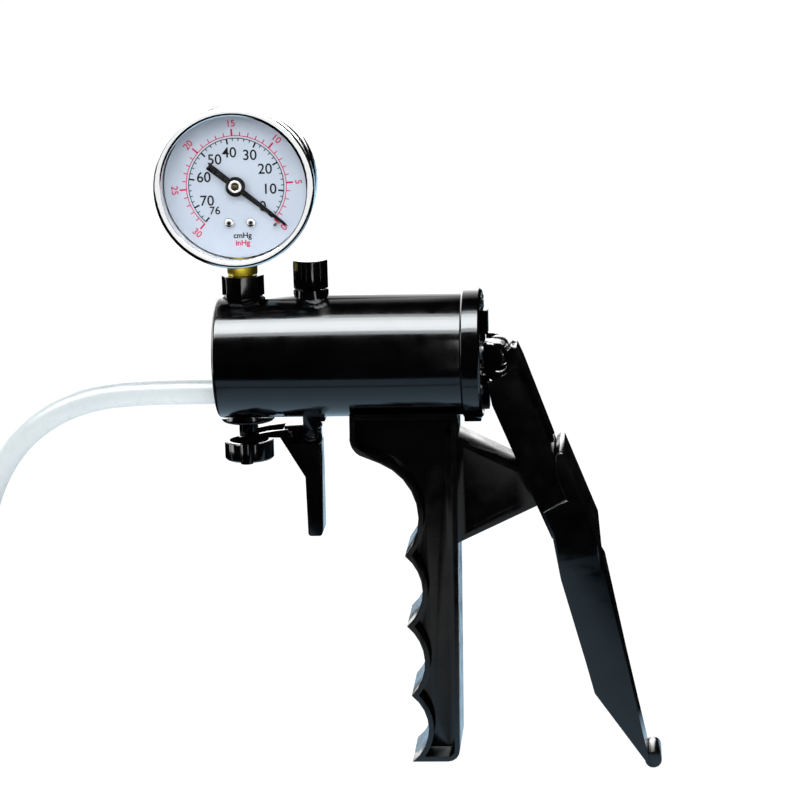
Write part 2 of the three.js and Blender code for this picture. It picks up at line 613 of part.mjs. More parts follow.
function grip() {
  const { half, rim, webHalf, top } = GRIP;
  const body = plate(gripOutline(0), -half, half);
  const pocket = gripOutline(rim);
  const pockets = [plate(pocket, -half - 1, -webHalf), plate(pocket, webHalf, half + 1)];
  const bracket = plate(BRACKET_OUTLINE, -BRACKET.half, BRACKET.half);
  const recess = [[21.2, -29.6], [38.0, -38.0], [38.0, -50.6], [21.2, -58.6]];
  const sides = [[-BRACKET.half - 1, -webHalf], [webHalf, BRACKET.half + 1]];
  const recesses = sides.map(([a, b]) => plate(recess, a, b));
  const hub = rod("y", BRACKET.hubR, -BRACKET.hubHalf, BRACKET.hubHalf, 24).translate(PIVOT.x, 0, PIVOT.z);
  const saddle = block([-13.6, 18.6], [-9.0, 9.0], [top - 1, -12]);
  const pad = block([0.5, 18.6], [-11.0, 11.0], [top - 1, -12]);
  const bore = rod("y", PIVOT.pinR + GAP, -20, 20, 20).translate(PIVOT.x, 0, PIVOT.z);
  const barrelClear = rod("x", BARREL.r + GAP, -30, 40, 56);
  const frame = join(cut(body, ...pockets), cut(bracket, ...recesses), hub, saddle, pad);
  return cut(frame, bore, barrelClear);
}

piece("grip", BLACK_GLOSS, grip());
const leverPin = rod("y", PIVOT.pinR, -PIVOT.pinHalf, PIVOT.pinHalf, 20);
piece("lever_pin", STEEL, leverPin.translate(PIVOT.x, 0, PIVOT.z));

// ---------------------------------------------------------------- lever
// Points on the arm are given along the line from the pivot to the cross pin, and across it.
const armReach = Math.hypot(CROSS.x - PIVOT.x, PIVOT.z);
const along = [(CROSS.x - PIVOT.x) / armReach, -PIVOT.z / armReach];
const across = [along[1], -along[0]];
const onArm = ([s, n]) => [PIVOT.x + s * along[0] + n * across[0], PIVOT.z + s * along[1] + n * across[1]];

const ARM_OUTLINE = [
  [29.6, -7.2], [31.0, -14.8], [44.8, -48.3], [49.6, -59.6], [53.0, -61.0],
  [60.4, -57.0], [50.7, -31.4], [38.6, -3.0], [31.7, -6.9],
].reverse();

function leverArm() {
  const { half, inner, wall, earIn, earOut } = ARM;
  const cheeks = plate(ARM_OUTLINE, -half, half);
  const channel = plate([
    [20.0, 2.0], [38.6 - wall - 0.3, 2.0], [38.6 - wall - 0.2, -3.0], [50.7 - wall - 0.2, -31.4],
    [60.4 - wall - 0.2, -57.0], [58.0, -66.0], [20.0, -66.0],
  ].reverse(), -inner, inner);
  const spineOutline = [[47.4, 5.2], [47.0, 7.2], [42.0, 7.6], [13.6, 8.2], [13.6, 5.0]].map(onArm);
  const spine = plate(spineOutline, -earOut, earOut);
  const eyeTop = onArm([47.0, 0]);
  const left = Math.atan2(-across[1], -across[0]);
  const earOutline = [
    onArm([33.0, 6.0]), onArm([36.5, -1.5]), onArm([41.0, -4.6]),
    ...arc(eyeTop, 4.2, left, left - Math.PI, 12),
    onArm([48.0, 5.8]), onArm([47.0, 7.2]), onArm([33.0, 7.6]),
  ];
  const slot = [
    ...arc(onArm([47.0, 0]), CROSS.pinR + 0.5, left, left - Math.PI, 10),
    ...arc(onArm([43.8, 0]), CROSS.pinR + 0.5, left - Math.PI, left - 2 * Math.PI, 10),
  ];
  const ears = [plate(earOutline, -earOut, -earIn), plate(earOutline, earIn, earOut)];
  const sockets = [-1, 1].map((side) => {
    const far = PIVOT.pinHalf + GAP;
    const [low, high] = side < 0 ? [-far, -10] : [10, far];
    return rod("y", PIVOT.pinR + GAP, low, high, 20).translate(PIVOT.x, 0, PIVOT.z);
  });
  const hubClear = rod("y", BRACKET.hubR + 0.5, -inner, inner, 24).translate(PIVOT.x, 0, PIVOT.z);
  return cut(join(cut(cheeks, channel), spine, ...ears), plate(slot, -20, 20), ...sockets, hubClear);
}

const HANDLE_REAR = [[53.9, -30.4], [64.5, -57.4], [65.5, -69.8], [66.6, -71.8], [79.9, -134.6]];
const HANDLE_TIP = [80.9, -140.2];
const HANDLE_FRONT = [[62.7, -114.2], [52.3, -73.6], [49.7, -58.4], [46.6, -50.3]];
const HANDLE_LEDGE = [[54.2, -46.4], [51.0, -38.4], [51.2, -31.4], [52.6, -30.1]];

function leverHandle() {
  const { half, inner, tipHalf, wall, edgeR, rollR, rollHalf } = HANDLE;
  const outline = [...HANDLE_REAR, HANDLE_TIP, ...HANDLE_FRONT, ...HANDLE_LEDGE];
  const taper = (h, tip) => sidePlate([
    [-tip, -145], [tip, -145], [tip, -104], [h, -64], [h, -20], [-h, -20], [-h, -64], [-tip, -104],
  ], 20, 100);
  const outer = common(roundedPlate(outline, -half, half, edgeR), taper(half, tipHalf));
  const cavity = plate([
    [40.0, -20.0], [53.9 - wall - 3, -20.0], [53.9 - wall - 0.2, -31.4], [64.5 - wall - 0.2, -58.4],
    [65.5 - wall, -69.8], [66.6 - wall, -72.4], [75.9, -128.1], [60.0, -124.0], [40.0, -90.0],
  ], -inner, inner);
  const hollow = common(cavity, taper(inner, tipHalf - 1.6));
  const roll = rod("y", rollR, -rollHalf, rollHalf, 20).translate(81.9, 0, -137.7);
  return join(cut(outer, hollow), roll);
}

piece("lever_arm", BLACK_GLOSS, leverArm());
piece("lever_handle", BLACK_GLOSS, leverHandle());

// ---------------------------------------------------------------- hose
const HOSE_LOOP = { centre: [-197.0, 23.0], r: 37.0, z: -136.1 };
const LOOP_TURN = arc(HOSE_LOOP.centre, HOSE_LOOP.r, -Math.PI / 2, -1.5 * Math.PI, 12);
const HOSE_ROUTE = [
  [HOSE.end, 0, -11.8], [-62, 0, -11.8], [-72, 0, -11.8], [-84, 0, -12.0], [-96, 0, -12.8],
  [-106, -0.2, -14.8], [-115, -0.6, -18.4], [-123, -1.2, -23.6], [-129.8, -2.0, -30.4],
  [-135.2, -3.0, -38.8], [-139.0, -4.2, -48.2], [-141.6, -5.5, -58.6], [-143.4, -7.0, -69.6],
  [-145.2, -8.5, -81.2], [-147.3, -10.0, -92.6], [-150.4, -11.4, -103.6], [-155.0, -12.5, -113.4],
  [-161.4, -13.3, -121.8], [-169.4, -13.8, -128.4], [-178.6, -14.0, -132.9], [-188.0, -14.0, -135.3],
  ...LOOP_TURN.map(([x, y]) => [x, y, HOSE_LOOP.z]),
  [-190, 60.0, HOSE_LOOP.z], [-181, 60.0, HOSE_LOOP.z],
];

// A stepped taper that pushes into tubes of several sizes.
function hoseConnector() {
  const start = HOSE_ROUTE[HOSE_ROUTE.length - 1];
  const steps = [3.4, 2.9, 2.4].flatMap((r, i) => [[r, 3.2 + 6 * i], [r - 0.35, 9.0 + 6 * i]]);
  const profile = [[1.4, GAP], [4.0, GAP], [4.0, 3.2], ...steps, [1.4, 21.0], [1.4, GAP]];
  return turned("x", profile, 20).translate(start[0], start[1], start[2]);
}

piece("hose", MILKY, alongPath(HOSE_ROUTE, HOSE.r, 10, 78));
piece("hose_connector", BLACK_GLOSS, hoseConnector());

export default pump;
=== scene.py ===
# Hand vacuum pump: the looks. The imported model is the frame; every size is in metres in its axes.
import math

import bmesh
import bpy
from mathutils import Matrix, Vector

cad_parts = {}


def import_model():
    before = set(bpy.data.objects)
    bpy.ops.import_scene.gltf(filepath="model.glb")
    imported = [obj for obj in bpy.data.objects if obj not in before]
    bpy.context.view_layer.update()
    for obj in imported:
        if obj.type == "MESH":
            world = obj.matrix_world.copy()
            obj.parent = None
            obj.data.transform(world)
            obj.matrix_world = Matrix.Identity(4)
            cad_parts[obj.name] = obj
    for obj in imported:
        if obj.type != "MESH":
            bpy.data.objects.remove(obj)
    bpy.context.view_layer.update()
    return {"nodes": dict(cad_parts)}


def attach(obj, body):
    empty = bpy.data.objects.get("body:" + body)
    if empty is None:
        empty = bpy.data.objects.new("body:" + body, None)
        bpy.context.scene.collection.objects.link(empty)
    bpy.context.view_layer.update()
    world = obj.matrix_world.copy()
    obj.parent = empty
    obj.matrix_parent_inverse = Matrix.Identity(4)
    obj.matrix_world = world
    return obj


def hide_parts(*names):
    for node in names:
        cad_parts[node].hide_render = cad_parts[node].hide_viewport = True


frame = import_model()
nodes = frame["nodes"]
MM = 0.001
CENTRE_X = 4.05
AXIS_HEIGHT = 140.5


def at(x, y, z):
    """A point of the barrel's own frame, in millimetres, as a place in the model."""
    return Vector(((x - CENTRE_X) * MM, y * MM, (z + AXIS_HEIGHT) * MM))


def link(obj):
    bpy.context.scene.collection.objects.link(obj)
    return obj


# ---------------------------------------------------------------- camera
def make_camera(azimuth, elevation, roll, distance, target, field):
    a, e, r = math.radians(azimuth), math.radians(elevation), math.radians(roll)
    back = Vector((math.sin(a) * math.cos(e), -math.cos(a) * math.cos(e), math.sin(e)))
    right = Vector((0, 0, 1)).cross(back).normalized()
    up = back.cross(right)
    turned_right = right * math.cos(r) - up * math.sin(r)
    turned_up = right * math.sin(r) + up * math.cos(r)
    data = bpy.data.cameras.new("camera")
    data.sensor_width = 36.0
    data.lens = 18.0 / math.tan(math.radians(field) / 2)
    data.clip_start, data.clip_end = 0.05, 60.0
    camera = link(bpy.data.objects.new("camera", data))
    turn = Matrix((turned_right, turned_up, back)).transposed()
    camera.matrix_world = Matrix.Translation(target + back * distance) @ turn.to_4x4()
    bpy.context.scene.camera = camera


make_camera(4.5, 12.0, 1.7, 1.0, at(0, 0, -15.5), 15.045)


# ---------------------------------------------------------------- materials
def band(tree, value, start, end):
    """0 below the start, 1 above the end."""
    node = tree.nodes.new("ShaderNodeMapRange")
    node.inputs["From Min"].default_value = start
    node.inputs["From Max"].default_value = end
    tree.links.new(value, node.inputs["Value"])
    return node.outputs["Result"]


class Shader:
    """A material with one Principled shader and the few node patterns that this scene uses."""

    def __init__(self, name, color, roughness, metallic=0.0, **sockets):
        self.material = bpy.data.materials.new(name)
        self.material.use_nodes = True
        self.tree = self.material.node_tree
        self.principled = self.tree.nodes["Principled BSDF"]
        self.place = self.tree.nodes.new("ShaderNodeNewGeometry").outputs["Position"]
        self.set("Base Color", (*color, 1.0))
        self.set("Roughness", roughness)
        self.set("Metallic", metallic)
        for socket, value in sockets.items():
            self.set(socket.replace("_", " "), value)

    def set(self, socket, value):
        self.principled.inputs[socket].default_value = value

    def link(self, a, b):
        self.tree.links.new(a, b)

    def noise(self, scale, detail=3.0, stretch=(1, 1, 1), distortion=0.0):
        mapping = self.tree.nodes.new("ShaderNodeMapping")
        mapping.inputs["Scale"].default_value = stretch
        self.link(self.place, mapping.inputs["Vector"])
        node = self.tree.nodes.new("ShaderNodeTexNoise")
        node.inputs["Scale"].default_value = scale
        node.inputs["Detail"].default_value = detail
        node.inputs["Distortion"].default_value = distortion
        self.link(mapping.outputs["Vector"], node.inputs["Vector"])
        return node.outputs["Fac"]

    def ramp(self, value, stops):
        node = self.tree.nodes.new("ShaderNodeValToRGB")
        elements = node.color_ramp.elements
        while len(elements) < len(stops):
            elements.new(0.5)
        for element, (position, color) in zip(elements, stops):
            element.position = position
            element.color = (*color, 1.0) if len(color) == 3 else color
        self.link(value, node.inputs["Fac"])
        return node.outputs["Color"]

    def vary(self, socket, value, low, high, start=0.3, end=0.7):
        """The socket runs from low to high as the pattern does."""
        node = self.tree.nodes.new("ShaderNodeMapRange")
        node.inputs["From Min"].default_value = start
        node.inputs["From Max"].default_value = end
        node.inputs["To Min"].default_value = low
        node.inputs["To Max"].default_value = high
        self.link(value, node.inputs["Value"])
        self.link(node.outputs["Result"], self.principled.inputs[socket])
        return self

    def bump(self, value, strength, distance):
        node = self.tree.nodes.new("ShaderNodeBump")
        node.inputs["Strength"].default_value = strength
        node.inputs["Distance"].default_value = distance
        self.link(value, node.inputs["Height"])
        previous = self.principled.inputs["Normal"].links
        if previous:
            self.link(previous[0].from_socket, node.inputs["Normal"])
        self.link(node.outputs["Normal"], self.principled.inputs["Normal"])
        return self

    def tint(self, value, dark, light, start=0.3, end=0.7):
        color = self.ramp(value, [(start, dark), (end, light)])
        self.link(color, self.principled.inputs["Base Color"])
        return self


def black_plastic(name, roughness=0.10, grain=0.25):
    """Polished black moulded plastic: faint orange peel, a slow change of gloss and fine handling marks."""
    shader = Shader(name, (0.002, 0.002, 0.0024), roughness, IOR=1.5)
    shader.tint(shader.noise(70.0, 4.0), (0.0002, 0.0002, 0.0004), (0.0008, 0.0008, 0.0012))
    shader.vary("Roughness", shader.noise(160.0, 5.0), roughness * 0.75, roughness * 1.45)
    shader.bump(shader.noise(420.0, 2.0), grain * 0.20, 0.00012)
    shader.bump(shader.noise(2600.0, 2.0, (1, 1, 0.15)), grain * 0.06, 0.00003)
    return shader.material


def chrome():
    shader = Shader("chrome", (0.82, 0.83, 0.84), 0.06, 1.0)
    shader.vary("Roughness", shader.noise(220.0, 5.0), 0.03, 0.11)
    shader.bump(shader.noise(900.0, 3.0), 0.03, 0.00004)
    return shader.material


def screw_chrome(centres):
    """Chrome with painted shade: a dark disc about the axis of each screw is painted into the colour,
    standing in for the shade of a hollow that the mesh does not have.
    """
    shader = Shader("screw_chrome", (0.82, 0.83, 0.84), 0.08, 1.0)
    flat = shader.tree.nodes.new("ShaderNodeVectorMath")
    flat.operation = "MULTIPLY"
    flat.inputs[1].default_value = (1, 0, 1)
    shader.link(shader.place, flat.inputs[0])
    nearest = None
    for centre in centres:
        away = shader.tree.nodes.new("ShaderNodeVectorMath")
        away.operation = "DISTANCE"
        away.inputs[1].default_value = (centre.x, 0, centre.z)
        shader.link(flat.outputs["Vector"], away.inputs[0])
        if nearest is None:
            nearest = away.outputs["Value"]
            continue
        least = shader.tree.nodes.new("ShaderNodeMath")
        least.operation = "MINIMUM"
        shader.link(nearest, least.inputs[0])
        shader.link(away.outputs["Value"], least.inputs[1])
        nearest = least.outputs[0]
    # Painted shade: the colour goes dark within about a millimetre of each screw's axis and turns back to
    # chrome further out.
    shader.tint(band(shader.tree, nearest, 0.0004, 0.0010), (0.02, 0.02, 0.02), (0.82, 0.83, 0.84), 0.1, 0.9)
    shader.vary("Roughness", shader.noise(900.0, 4.0), 0.05, 0.14)
    shader.bump(shader.noise(1500.0, 3.0), 0.03, 0.00003)
    return shader.material


def steel():
    shader = Shader("steel", (0.5, 0.5, 0.51), 0.28, 1.0)
    shader.tint(shader.noise(300.0, 4.0), (0.42, 0.42, 0.43), (0.62, 0.62, 0.63))
    shader.vary("Roughness", shader.noise(700.0, 4.0, (1, 0.1, 1)), 0.2, 0.42)
    shader.bump(shader.noise(3000.0, 2.0, (1, 0.05, 1)), 0.08, 0.00002)
    return shader.material


def black_oxide():
    """Blackened steel, worn a little brighter in patches."""
    shader = Shader("black_oxide", (0.006, 0.006, 0.007), 0.32)
    shader.tint(shader.noise(900.0, 4.0), (0.004, 0.004, 0.005), (0.016, 0.016, 0.017), 0.35, 0.75)
    shader.vary("Roughness", shader.noise(1600.0, 4.0), 0.25, 0.45)
    shader.bump(shader.noise(2600.0, 3.0), 0.1, 0.00003)
    return shader.material


def bronze():
    shader = Shader("bronze", (0.09, 0.07, 0.05), 0.4, 1.0)
    shader.tint(shader.noise(1200.0, 4.0), (0.04, 0.03, 0.02), (0.16, 0.12, 0.08))
    shader.vary("Roughness", shader.noise(2000.0, 3.0), 0.3, 0.5)
    shader.bump(shader.noise(2600.0, 3.0), 0.1, 0.00003)
    return shader.material


def white_enamel():
    shader = Shader("white_enamel", (0.82, 0.84, 0.87), 0.3)
    shader.tint(shader.noise(120.0, 4.0), (0.78, 0.80, 0.84), (0.86, 0.88, 0.90))
    shader.vary("Roughness", shader.noise(500.0, 4.0), 0.24, 0.38)
    shader.bump(shader.noise(1500.0, 3.0), 0.06, 0.00003)
    return shader.material


def brass():
    shader = Shader("brass", (0.62, 0.47, 0.04), 0.35, 1.0)
    shader.tint(shader.noise(260.0, 4.0), (0.52, 0.40, 0.02), (0.72, 0.56, 0.07))
    shader.vary("Roughness", shader.noise(500.0, 4.0, (0.1, 0.1, 1)), 0.26, 0.46)
    shader.bump(shader.noise(4000.0, 2.0, (0.03, 0.03, 1)), 0.12, 0.00003)
    return shader.material


def rubber():
    shader = Shader("rubber", (0.012, 0.012, 0.012), 0.62)
    shader.tint(shader.noise(200.0, 5.0), (0.008, 0.008, 0.008), (0.022, 0.022, 0.021))
    shader.vary("Roughness", shader.noise(500.0, 4.0), 0.5, 0.8)
    shader.bump(shader.noise(1500.0, 3.0), 0.2, 0.00005)
    return shader.material


def dial_paint():
    """Pale blue-grey enamel on a thin metal disc."""
    shader = Shader("dial_paint", (0.46, 0.52, 0.61), 0.42)
    shader.tint(shader.noise(60.0, 4.0), (0.43, 0.49, 0.58), (0.475, 0.535, 0.62))
    shader.vary("Roughness", shader.noise(350.0, 4.0), 0.36, 0.5)
    shader.bump(shader.noise(1800.0, 3.0), 0.05, 0.00003)
    return shader.material


def ink(name, dark, light):
    shader = Shader(name, light, 0.5, Specular_IOR_Level=0.15)
    shader.tint(shader.noise(900.0, 4.0), dark, light)
    shader.vary("Roughness", shader.noise(1500.0, 3.0), 0.4, 0.6)
    shader.bump(shader.noise(3000.0, 2.0), 0.06, 0.00002)
    return shader.material


def lens_glass():
    shader = Shader("lens_glass", (1.0, 1.0, 1.0), 0.0, IOR=1.08, Transmission_Weight=1.0)
    shader.vary("Roughness", shader.noise(90.0, 4.0), 0.0, 0.012)
    return shader.material


def milky_hose():
    """Soft translucent tube, slightly clouded along its length."""
    shader = Shader("milky_hose", (0.76, 0.83, 0.845), 0.32, IOR=1.45)
    shader.set("Subsurface Weight", 0.35)
    shader.set("Subsurface Radius", (0.003, 0.003, 0.003))
    shader.tint(shader.noise(45.0, 4.0), (0.73, 0.80, 0.82), (0.79, 0.855, 0.87))
    shader.vary("Roughness", shader.noise(260.0, 5.0), 0.22, 0.42)
    shader.bump(shader.noise(700.0, 3.0), 0.08, 0.00008)
    return shader.material


# ---------------------------------------------------------------- dressing the CAD nodes
def smooth_group():
    """Smooth shading across every edge that turns less than a limit."""
    group = bpy.data.node_groups.new("smooth_by_angle", "GeometryNodeTree")
    group.interface.new_socket("Geometry", in_out="INPUT", socket_type="NodeSocketGeometry")
    group.interface.new_socket("Geometry", in_out="OUTPUT", socket_type="NodeSocketGeometry")
    source = group.nodes.new("NodeGroupInput")
    target = group.nodes.new("NodeGroupOutput")
    faces = group.nodes.new("GeometryNodeSetShadeSmooth")
    faces.domain = "FACE"
    edges = group.nodes.new("GeometryNodeSetShadeSmooth")
    edges.domain = "EDGE"
    angle = group.nodes.new("GeometryNodeInputMeshEdgeAngle")
    small = group.nodes.new("FunctionNodeCompare")
    small.data_type = "FLOAT"
    small.operation = "LESS_THAN"
    small.inputs[1].default_value = math.radians(32)
    group.links.new(source.outputs[0], faces.inputs["Geometry"])
    group.links.new(faces.outputs["Geometry"], edges.inputs["Geometry"])
    group.links.new(angle.outputs["Unsigned Angle"], small.inputs[0])
    group.links.new(small.outputs["Result"], edges.inputs["Shade Smooth"])
    group.links.new(edges.outputs["Geometry"], target.inputs[0])
    return group


SMOOTH = smooth_group()


def finish_edges(obj, bevel, segments=2):
    if "custom_normal" in obj.data.attributes:
        obj.data.attributes.remove(obj.data.attributes["custom_normal"])
    weld = obj.modifiers.new("weld", "WELD")
    weld.merge_threshold = 2e-6
    if bevel:
        edge = obj.modifiers.new("edge", "BEVEL")
        edge.width = bevel * MM
        edge.segments = segments
        edge.limit_method = "ANGLE"
        edge.angle_limit = math.radians(36)
    obj.modifiers.new("smooth", "NODES").node_group = SMOOTH


def dress(material, bevel, *names):
    for name in names:
        obj = nodes[name]
        obj.data.materials.clear()
        obj.data.materials.append(material)
        finish_edges(obj, bevel)


def new_piece(name, mesh_data, material, body):
    obj = link(bpy.data.objects.new(name, mesh_data))
    obj.data.materials.clear()
    obj.data.materials.append(material)
    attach(obj, body)
    return obj


# ---------------------------------------------------------------- hose
LOOP_CENTRE = (-197.0, 23.0)
LOOP_R = 37.0
LOOP_Z = -136.1
LOOP_ANGLES = [math.pi * (-0.5 - i / 12) for i in range(13)]
HOSE_ROUTE = [
    (-56.3, 0, -11.8), (-62, 0, -11.8), (-72, 0, -11.8), (-84, 0, -12.0), (-96, 0, -12.8),
    (-106, -0.2, -14.8), (-115, -0.6, -18.4), (-123, -1.2, -23.6), (-129.8, -2.0, -30.4),
    (-135.2, -3.0, -38.8), (-139.0, -4.2, -48.2), (-141.6, -5.5, -58.6), (-143.4, -7.0, -69.6),
    (-145.2, -8.5, -81.2), (-147.3, -10.0, -92.6), (-150.4, -11.4, -103.6), (-155.0, -12.5, -113.4),
    (-161.4, -13.3, -121.8), (-169.4, -13.8, -128.4), (-178.6, -14.0, -132.9), (-188.0, -14.0, -135.3),
    *[
        (LOOP_CENTRE[0] + LOOP_R * math.cos(a), LOOP_CENTRE[1] + LOOP_R * math.sin(a), LOOP_Z)
        for a in LOOP_ANGLES
    ],
    (-190, 60.0, LOOP_Z), (-181, 60.0, LOOP_Z),
]
HOSE_R = 4.15


def catmull_rom(points, steps):
    """Points on a smooth curve through the given ones."""
    padded = [points[0] * 2 - points[1], *points, points[-1] * 2 - points[-2]]
    result = []
    for a, b, c, d in zip(padded, padded[1:], padded[2:], padded[3:]):
        for i in range(steps):
            t = i / steps
            square = (2 * a - 5 * b + 4 * c - d) * t * t
            cube = (3 * b - a - 3 * c + d) * t**3
            result.append(0.5 * (2 * b + (c - a) * t + square + cube))
    return result + [points[-1]]


def hose():
    path = catmull_rom([at(*p) for p in HOSE_ROUTE], 6)
    sides = 28
    bm = bmesh.new()
    rings = []
    for radius in (HOSE_R, HOSE_R - 1.5):
        for i, point in enumerate(path):
            ahead = (path[min(i + 1, len(path) - 1)] - path[max(i - 1, 0)]).normalized()
            across = ahead.cross(Vector((0, 1, 0.15))).normalized()
            other = ahead.cross(across)
            ring = []
            for k in range(sides):
                angle = 2 * math.pi * k / sides
                offset = (across * math.cos(angle) + other * math.sin(angle)) * radius * MM
                ring.append(bm.verts.new(point + offset))
            rings.append(ring)
    count = len(path)
    outer, inner = rings[:count], rings[count:]
    for wall in (outer, inner[::-1]):
        for first, second in zip(wall, wall[1:]):
            for k in range(sides):
                bm.faces.new((first[k], second[k], second[(k + 1) % sides], first[(k + 1) % sides]))
    for a, b in ((inner[0], outer[0]), (outer[-1], inner[-1])):
        for k in range(sides):
            bm.faces.new((a[k], b[k], b[(k + 1) % sides], a[(k + 1) % sides]))
    bmesh.ops.recalc_face_normals(bm, faces=bm.faces)
    mesh = bpy.data.meshes.new("hose_tube")
    bm.to_mesh(mesh)
    bm.free()
    mesh.shade_smooth()
    piece = new_piece("hose_tube", mesh, milky_hose(), "pump")
    piece.modifiers.new("smooth", "NODES").node_group = SMOOTH
    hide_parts("hose")


hose()

# ---------------------------------------------------------------- the CAD nodes' looks
BLACK = black_plastic("black_gloss", 0.11)
BLACK_FINE = black_plastic("black_gloss_fine", 0.12, 0.4)
BLACK_GRIP = black_plastic("black_gloss_grip", 0.19, 0.5)
CHROME, STEEL, BRASS, RUBBER = chrome(), steel(), brass(), rubber()
dress(BLACK, 0.35, "barrel", "end_cap")
dress(BLACK, 0.25, "front_cover", "gauge_socket", "vent_cap", "valve_body", "hose_connector")
dress(BLACK_FINE, 0.25, "valve_knob", "trigger", "cross_pin", "piston", "rod_bush")
dress(BLACK_GRIP, 0.45, "grip")
dress(BLACK_GRIP, 0.35, "lever_arm", "lever_handle")
dress(CHROME, 0.15, "gauge_case", "gauge_bezel", "needle_cap")
dress(STEEL, 0.1, "piston_rod", "lever_pin", "valve_stem")
dress(black_oxide(), 0.1, "cap_screw_1", "cap_screw_2", "cap_screw_3", "trigger_pin", "stop_pin")
dress(STEEL, 0.0, "piston_spring", "valve_spring", "trigger_spring")
dress(BRASS, 0.1, "gauge_stem", "bourdon_tube", "movement_plate", "needle_arbor")
dress(BRASS, 0.0, "sector_gear")
dress(RUBBER, 0.1, "inlet_valve", "piston_seal", "vent_disc", "valve_seal")
dress(dial_paint(), 0.0, "gauge_dial")
dress(ink("needle_black", (0.002, 0.002, 0.002), (0.006, 0.006, 0.006)), 0.08, "needle")
dress(lens_glass(), 0.2, "gauge_lens")

# ---------------------------------------------------------------- dial print
DIAL_CENTRE = at(-50.6, -7.0, 57.7)
SCREW_CENTRES = [DIAL_CENTRE + Vector((x, 0, -12.0)) * MM for x in (-2.75, 4.35)]
# The dial screws get chrome with a painted dark shade at each screw's centre.
dress(screw_chrome(SCREW_CENTRES), 0.15, "dial_screw_left", "dial_screw_right")


def second_finish(name, material, chosen):
    """The polygons whose distance from the dial's axis and outward turn pass the test get another finish."""
    obj = nodes[name]
    obj.data.materials.append(material)
    for polygon in obj.data.polygons:
        spoke = polygon.center - DIAL_CENTRE
        spoke.y = 0.0
        outward = polygon.normal.dot(spoke.normalized()) if spoke.length else 0.0
        if chosen(spoke.length / MM, outward, polygon.normal.y):
            polygon.material_index = 1


second_finish("gauge_case", white_enamel(), lambda radius, outward, _: radius < 24.3 and outward < -0.7)
second_finish("needle_arbor", bronze(), lambda radius, _, facing: radius < 1.4 and facing < -0.3)

DIAL_DEPTH = 0.06
INK_RED = ink("ink_red", (0.50, 0.008, 0.06), (0.60, 0.015, 0.09))
INK_BLACK = ink("ink_black", (0.002, 0.002, 0.003), (0.006, 0.006, 0.008))


def dial_angle(inches):
    return math.radians(-42.6 + 9.04 * inches)


def on_dial(radius, angle, lift=0.0):
    return DIAL_CENTRE + Vector((radius * math.cos(angle), -lift, radius * math.sin(angle))) * MM


def ink_bar(bm, start, end, half_width):
    """A flat printed stroke from one point of the dial to another, both (radius, angle)."""
    a, b = on_dial(*start), on_dial(*end)
    side = (b - a).normalized().cross(Vector((0, 1, 0))) * half_width * MM
    base = [a - side, a + side, b + side, b - side]
    lower = [bm.verts.new(p) for p in base]
    upper = [bm.verts.new(p + Vector((0, -DIAL_DEPTH * MM, 0))) for p in base]
    bm.faces.new(upper)
    for i in range(4):
        bm.faces.new((lower[i], lower[(i + 1) % 4], upper[(i + 1) % 4], upper[i]))


def ink_arc(bm, radius, start, end, half_width):
    steps = 90
    angles = [start + (end - start) * i / steps for i in range(steps + 1)]
    for a, b in zip(angles, angles[1:]):
        ink_bar(bm, (radius, a), (radius, b), half_width)


def ink_text(bm, text, size, x, z, turn=0.0, bold=0.03):
    """Lettering centred on (x, z) millimetres from the dial's centre, turned by an angle."""
    curve = bpy.data.curves.new("lettering", "FONT")
    curve.body = text
    curve.size = size * MM
    curve.align_x = "CENTER"
    curve.align_y = "CENTER"
    curve.extrude = DIAL_DEPTH * MM / 2
    obj = link(bpy.data.objects.new("lettering", curve))
    spot = DIAL_CENTRE + Vector((x, -DIAL_DEPTH / 2, z)) * MM
    curve.offset = bold * MM
    upright = Matrix.Rotation(math.pi / 2, 4, "X")
    obj.matrix_world = Matrix.Translation(spot) @ Matrix.Rotation(-turn, 4, "Y") @ upright
    bpy.context.view_layer.update()
    mesh = bpy.data.meshes.new_from_object(obj.evaluated_get(bpy.context.evaluated_depsgraph_get()))
    mesh.transform(obj.matrix_world)
    bm.from_mesh(mesh)
    bpy.data.meshes.remove(mesh)
    bpy.data.objects.remove(obj)
    bpy.data.curves.remove(curve)


def printed(name, material, draw):
    bm = bmesh.new()
    draw(bm)
    bmesh.ops.recalc_face_normals(bm, faces=bm.faces)
    mesh = bpy.data.meshes.new(name)
    bm.to_mesh(mesh)
    bm.free()
    new_piece(name, mesh, material, "pump")


def draw_red(bm):
    """Inches of mercury, outside: an arc, a tick for each inch and a number at every fifth."""
    ring = 16.2
    ink_arc(bm, ring, dial_angle(0), dial_angle(30), 0.13)
    for inches in range(31):
        angle = dial_angle(inches)
        long = inches % 5 == 0
        ink_bar(bm, (ring, angle), (ring + (2.2 if long else 1.3), angle), 0.27 if long else 0.15)
    for inches in range(0, 31, 5):
        angle = dial_angle(inches)
        turn = angle - math.pi / 2 + (math.pi if inches >= 25 else 0.0)
        ink_text(bm, str(inches), 3.05, 20.1 * math.cos(angle), 20.1 * math.sin(angle), turn)
    ink_text(bm, "inHg", 2.5, 1.4, -18.6, bold=0.06)


NUMBER_SHIFT = {0: 3, 50: -7, 60: -6}


def draw_black(bm):
    """Centimetres of mercury, inside: an arc, a tick for every second one and a number at every tenth."""
    ring = 15.4
    ink_arc(bm, ring, dial_angle(0), dial_angle(76 / 2.54), 0.13)
    for value in [*range(0, 75, 2), 76]:
        angle = dial_angle(value / 2.54)
        long = value % 10 == 0 or value == 76
        ink_bar(bm, (ring, angle), (ring - (1.8 if long else 0.9), angle), 0.27 if long else 0.14)
    for value in [*range(0, 71, 10), 76]:
        angle = dial_angle(value / 2.54) + math.radians(NUMBER_SHIFT.get(value, 0))
        size = 4.7 if value < 76 else 3.6
        ink_text(bm, str(value), size, 10.8 * math.cos(angle), 10.8 * math.sin(angle), bold=0.045)
    ink_text(bm, "cmHg", 2.5, 1.4, -16.2, bold=0.06)


printed("dial_print_red", INK_RED, draw_red)
printed("dial_print_black", INK_BLACK, draw_black)


